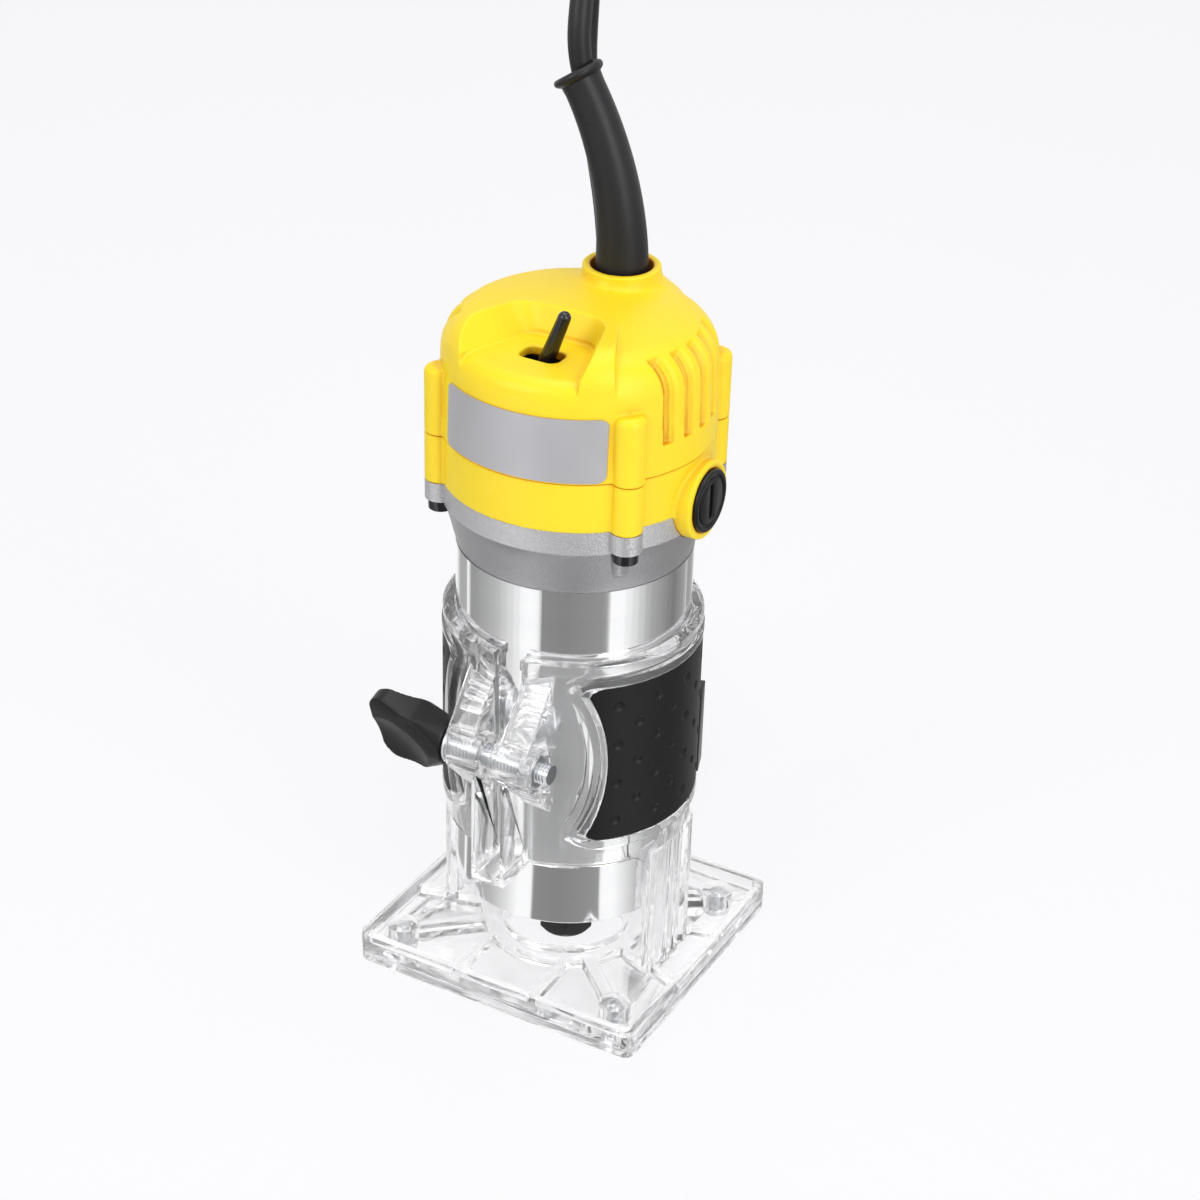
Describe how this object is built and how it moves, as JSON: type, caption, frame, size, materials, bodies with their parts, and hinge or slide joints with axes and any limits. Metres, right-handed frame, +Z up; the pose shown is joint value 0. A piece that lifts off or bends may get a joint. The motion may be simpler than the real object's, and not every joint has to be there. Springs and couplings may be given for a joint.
{
  "type": "trim router",
  "caption": "Corded trim router: yellow-capped motor that slides in a clear clamped base, with toggle switch, collet, brushes and a coiled mains lead.",
  "frame": {"origin": "centre of the cutter opening on the underside of the sub-base, which stands on the table", "axes": "+Z up along the spindle, -Y towards the clamp slot and the switch, +X towards the clamp nut"},
  "size_m": [0.1309, 0.184, 0.2951],
  "materials": {
    "clear_plastic": "clear moulded plastic, polished",
    "grip_rubber": "satin rubber with dimples",
    "black_plastic": "fine grained black",
    "steel": "bright zinc plated",
    "black_steel": "blackened",
    "lamination": "stacked sheet",
    "copper": "enamelled copper",
    "brass": "bright",
    "cast_aluminium": "turned barrel, blasted upper band",
    "yellow_plastic": "satin moulded yellow",
    "label": "bare grey plate",
    "carbon": "pressed carbon",
    "cord_rubber": "satin black"
  },
  "bodies": {
    "base": {"base_body": "clear_plastic", "sub_base": "clear_plastic", "sub_base_screws": "steel", "grip_left": "grip_rubber", "grip_right": "grip_rubber", "clamp_nut": "steel", "cord_coil": "cord_rubber", "cord_tie": "black_plastic", "plug_body": "cord_rubber", "plug_blades": "brass"},
    "clamp_washer": {"clamp_washer": "steel"},
    "clamp_knob": {"clamp_knob": "black_plastic", "clamp_stud": "steel"},
    "motor": {"motor_casting": "cast_aluminium", "motor_ring": "yellow_plastic", "top_cap": "yellow_plastic", "label_plate": "label", "housing_screws": "steel", "stator_core": "lamination", "stator_windings": "copper", "lower_bearing": "steel", "upper_bearing": "steel", "brush_holder_left": "brass", "brush_holder_right": "brass", "brush_cap_left": "black_plastic", "brush_cap_right": "black_plastic", "brush_spring_left": "steel", "brush_spring_right": "steel", "switch_body": "black_plastic", "strain_relief": "cord_rubber", "cord_clamp": "black_plastic", "cord_clamp_screws": "steel", "cord_lead": "cord_rubber"},
    "brush_left": {"carbon_brush_left": "carbon"},
    "brush_right": {"carbon_brush_right": "carbon"},
    "switch_lever": {"switch_lever": "black_plastic"},
    "armature": {"spindle": "steel", "armature_core": "lamination", "armature_windings": "copper", "commutator": "copper", "fan": "black_plastic"},
    "collet": {"collet": "steel"},
    "collet_nut": {"collet_nut": "black_steel"}
  },
  "joints": [
    {"name": "depth", "type": "slide", "parent": "base", "child": "motor", "axis": [0, 0, 1], "range_m": [-0.017, 0.03], "deforming": ["cord_lead"]},
    {"name": "clamp_travel", "type": "slide", "parent": "base", "child": "clamp_washer", "axis": [-1, 0, 0], "range_m": [0, 0.0021]},
    {"name": "knob_turn", "type": "hinge", "parent": "clamp_washer", "child": "clamp_knob", "pos_m": [-0.02, -0.0425, 0.0853], "axis": [-1, 0, 0], "range_deg": [0, 720]},
    {"name": "switch_throw", "type": "hinge", "parent": "motor", "child": "switch_lever", "pos_m": [0, -0.0195, 0.1899], "axis": [0, 1, 0], "range_deg": [-42, 0]},
    {"name": "spindle_turn", "type": "hinge", "parent": "motor", "child": "armature", "pos_m": [0, 0, 0.1], "axis": [0, 0, 1], "continuous": true},
    {"name": "collet_travel", "type": "slide", "parent": "armature", "child": "collet", "axis": [0, 0, -1], "range_m": [0, 0.0021]},
    {"name": "collet_nut_turn", "type": "hinge", "parent": "collet", "child": "collet_nut", "pos_m": [0, 0, 0.01], "axis": [0, 0, -1], "range_deg": [0, 720]},
    {"name": "brush_feed_left", "type": "slide", "parent": "motor", "child": "brush_left", "axis": [-1, 0, 0], "range_m": [0, 0.002], "stiffness_N_per_m": 300, "springref_m": -0.005, "deforming": ["brush_spring_left"]},
    {"name": "brush_feed_right", "type": "slide", "parent": "motor", "child": "brush_right", "axis": [1, 0, 0], "range_m": [0, 0.002], "stiffness_N_per_m": 300, "springref_m": -0.005, "deforming": ["brush_spring_right"]}
  ],
  "couplings": [
    {"joint": "clamp_travel", "follows": "knob_turn", "m_per_rad": 0.00015915},
    {"joint": "collet_travel", "follows": "collet_nut_turn", "m_per_rad": 0.00015915}
  ]
}
